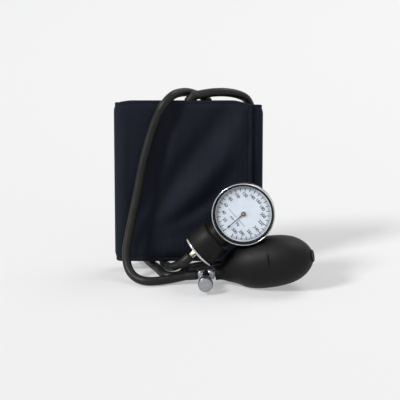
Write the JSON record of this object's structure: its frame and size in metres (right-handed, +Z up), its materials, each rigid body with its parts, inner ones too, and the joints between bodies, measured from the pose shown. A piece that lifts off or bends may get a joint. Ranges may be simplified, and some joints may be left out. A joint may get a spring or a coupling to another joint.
{
  "type": "sphygmomanometer",
  "caption": "Aneroid blood pressure gauge on a rubber squeeze bulb with a screw release valve, two hoses and a rolled nylon arm cuff.",
  "frame": {"origin": "middle of the footprint of everything but the two hoses, on the floor", "axes": "+X to the right along the cuff and bulb, +Y away from the reader of the dial, +Z up"},
  "size_m": [0.1789, 0.1272, 0.1642],
  "materials": {
    "chrome": "polished chrome plate",
    "crystal": "clear polished window",
    "black_plastic": "satin black plastic",
    "dial": "white enamel with black printing",
    "case": "satin black enamel",
    "brass": "machined brass",
    "steel": "machined steel",
    "nickel": "warm nickel plate",
    "satin_metal": "satin plate",
    "bulb_rubber": "smooth black rubber with a dull sheen",
    "hose_rubber": "dark grey tubing, satin",
    "nylon": "navy woven nylon",
    "tape": "hook and loop tape",
    "bladder_rubber": "matt latex sheet"
  },
  "bodies": {
    "instrument": {"bezel": "chrome", "crystal": "crystal", "spacer_ring": "black_plastic", "dial_plate": "dial", "gauge_case": "case", "movement_front_plate": "brass", "movement_back_plate": "brass", "hairspring": "steel", "capsule_lower": "brass", "bottom_plate": "chrome", "gauge_nipple": "nickel", "back_clip": "steel", "movement_pillar_1": "brass", "movement_pillar_2": "brass", "movement_pillar_3": "brass", "movement_screw_1": "steel", "movement_screw_2": "steel", "movement_screw_3": "steel", "clip_screw_1": "steel", "clip_screw_2": "steel", "valve_body": "chrome", "gland_ring": "black_plastic", "check_seat": "brass", "bulb": "bulb_rubber", "end_valve_body": "black_plastic", "intake_retainer": "brass", "cuff_sleeve": "nylon", "bladder": "bladder_rubber", "port_gauge": "bladder_rubber", "port_bulb": "bladder_rubber", "hook_tape": "tape", "loop_tape": "tape", "hose_gauge": "hose_rubber", "hose_bulb": "hose_rubber"},
    "sector": {"sector_gear": "brass", "sector_arbor": "steel"},
    "hand": {"pinion_arbor": "steel", "pointer": "black_plastic", "pointer_boss": "brass"},
    "capsule": {"capsule_upper": "brass", "capsule_post": "steel"},
    "needle_body": {"needle": "brass"},
    "knob": {"valve_knob": "satin_metal"},
    "check_valve_ball": {"check_ball": "steel"},
    "intake_valve_ball": {"intake_ball": "steel"}
  },
  "joints": [
    {"name": "sector_swing", "type": "hinge", "parent": "instrument", "child": "sector", "pos_m": [0.01312, -0.02261, 0.05889], "axis": [-0.0692, -0.9901, 0.1219], "range_deg": [0, 42.34]},
    {"name": "pointer_turn", "type": "hinge", "parent": "instrument", "child": "hand", "pos_m": [0.02684, -0.02251, 0.0675], "axis": [0.0692, 0.9901, -0.1219], "range_deg": [0, 338.7]},
    {"name": "capsule_lift", "type": "slide", "parent": "instrument", "child": "capsule", "axis": [0.7447, 0.03, 0.6667], "range_m": [0, 0.002]},
    {"name": "needle_travel", "type": "slide", "parent": "instrument", "child": "needle_body", "axis": [-0.0262, -0.9997, 0], "range_m": [0, 0.00105]},
    {"name": "knob_turn", "type": "hinge", "parent": "needle_body", "child": "knob", "pos_m": [-0.006, -0.0213, 0.0092], "axis": [-0.0262, -0.9997, 0], "range_deg": [0, 540]},
    {"name": "check_ball_lift", "type": "slide", "parent": "instrument", "child": "check_valve_ball", "axis": [-0.9942, 0.026, -0.1045], "range_m": [0, 0.0008]},
    {"name": "intake_ball_lift", "type": "slide", "parent": "instrument", "child": "intake_valve_ball", "axis": [-0.9528, 0.2112, -0.2182], "range_m": [0, 0.0008]}
  ],
  "couplings": [
    {"joint": "sector_swing", "follows": "capsule_lift", "rad_per_m": 369.4},
    {"joint": "pointer_turn", "follows": "capsule_lift", "rad_per_m": 2955.2},
    {"joint": "needle_travel", "follows": "knob_turn", "m_per_rad": 0.0001114}
  ]
}
